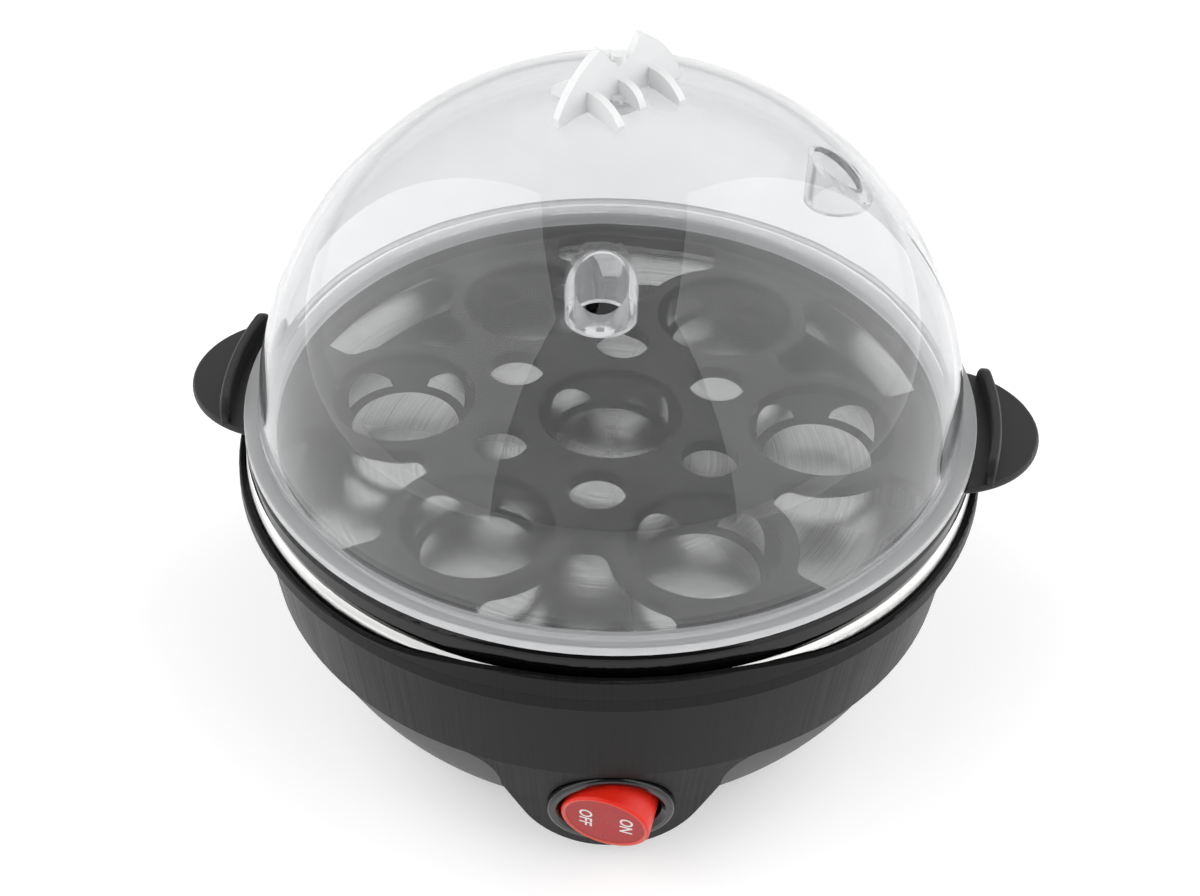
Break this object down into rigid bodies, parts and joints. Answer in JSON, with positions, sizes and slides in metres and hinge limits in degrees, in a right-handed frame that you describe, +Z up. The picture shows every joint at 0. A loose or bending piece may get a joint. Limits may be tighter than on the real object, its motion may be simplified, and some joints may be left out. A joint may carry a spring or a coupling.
{
  "type": "electric egg cooker",
  "caption": "Round countertop egg cooker with a steel heating pan, a lift-out egg tray with ears, a clear domed lid with a handle and a rocker switch on its front chin",
  "frame": {"origin": "on the table, in the middle of the round base", "axes": "+Z up, the switch at the front faces -Y, +X to the right as seen from the front"},
  "size_m": [0.1928, 0.17, 0.1642],
  "materials": {
    "housing_black": "satin moulded, fine upright texture",
    "cover_grey": "matte moulded",
    "foot_rubber": "matte",
    "screw_steel": "plated",
    "gland_rubber": "matte",
    "pan_steel": "spun, fine rings",
    "seal_silicone": "smooth",
    "plate_aluminium": "die cast",
    "element_sheath": "drawn tube",
    "bracket_steel": "zinc plated sheet",
    "thermostat_body": "moulded phenolic",
    "fuse_body": "drawn can",
    "block_plastic": "moulded",
    "terminal_brass": "stamped",
    "switch_black": "moulded, polished bezel",
    "lamp_glass": "clear",
    "rocker_red": "tinted translucent",
    "lead_insulation": "smooth silicone",
    "tray_black": "polished, satin ears",
    "lid_clear": "clear, polished",
    "handle_frosted": "frosted translucent"
  },
  "bodies": {
    "root": {"upper_housing": "housing_black", "base_cover": "cover_grey", "foot_front_left": "foot_rubber", "foot_front_right": "foot_rubber", "foot_rear_left": "foot_rubber", "foot_rear_right": "foot_rubber", "base_screws": "screw_steel", "cord_gland": "gland_rubber", "heating_pan": "pan_steel", "pan_seal": "seal_silicone", "heat_plate": "plate_aluminium", "heating_element": "element_sheath", "pan_bridge": "bracket_steel", "bridge_nut": "screw_steel", "bridge_screws": "screw_steel", "thermostat": "thermostat_body", "thermostat_screws": "screw_steel", "thermal_fuse": "fuse_body", "fuse_clip": "bracket_steel", "clip_screw": "screw_steel", "terminal_block": "block_plastic", "block_connectors": "terminal_brass", "block_screw": "screw_steel", "switch_body": "switch_black", "switch_terminals": "terminal_brass", "neon_lamp": "lamp_glass", "lead_block_to_switch": "lead_insulation", "lead_switch_to_thermostat": "lead_insulation", "lead_thermostat_to_element": "lead_insulation", "lead_lamp_to_block": "lead_insulation", "lead_element_to_fuse": "lead_insulation", "lead_fuse_to_block": "lead_insulation"},
    "tray": {"egg_tray": "tray_black"},
    "lid": {"lid_dome": "lid_clear", "lid_handle": "handle_frosted"},
    "rocker": {"rocker": "rocker_red"}
  },
  "joints": [
    {"name": "tray_lift", "type": "slide", "parent": "root", "child": "tray", "axis": [0, 0, 1], "range_m": [0, 0.06]},
    {"name": "lid_lift", "type": "slide", "parent": "tray", "child": "lid", "axis": [0, 0, 1], "range_m": [0, 0.1]},
    {"name": "rocker_tip", "type": "hinge", "parent": "root", "child": "rocker", "pos_m": [0, -0.07453, 0.02203], "axis": [0, -0.2181, 0.9759], "range_deg": [0, 32]}
  ]
}
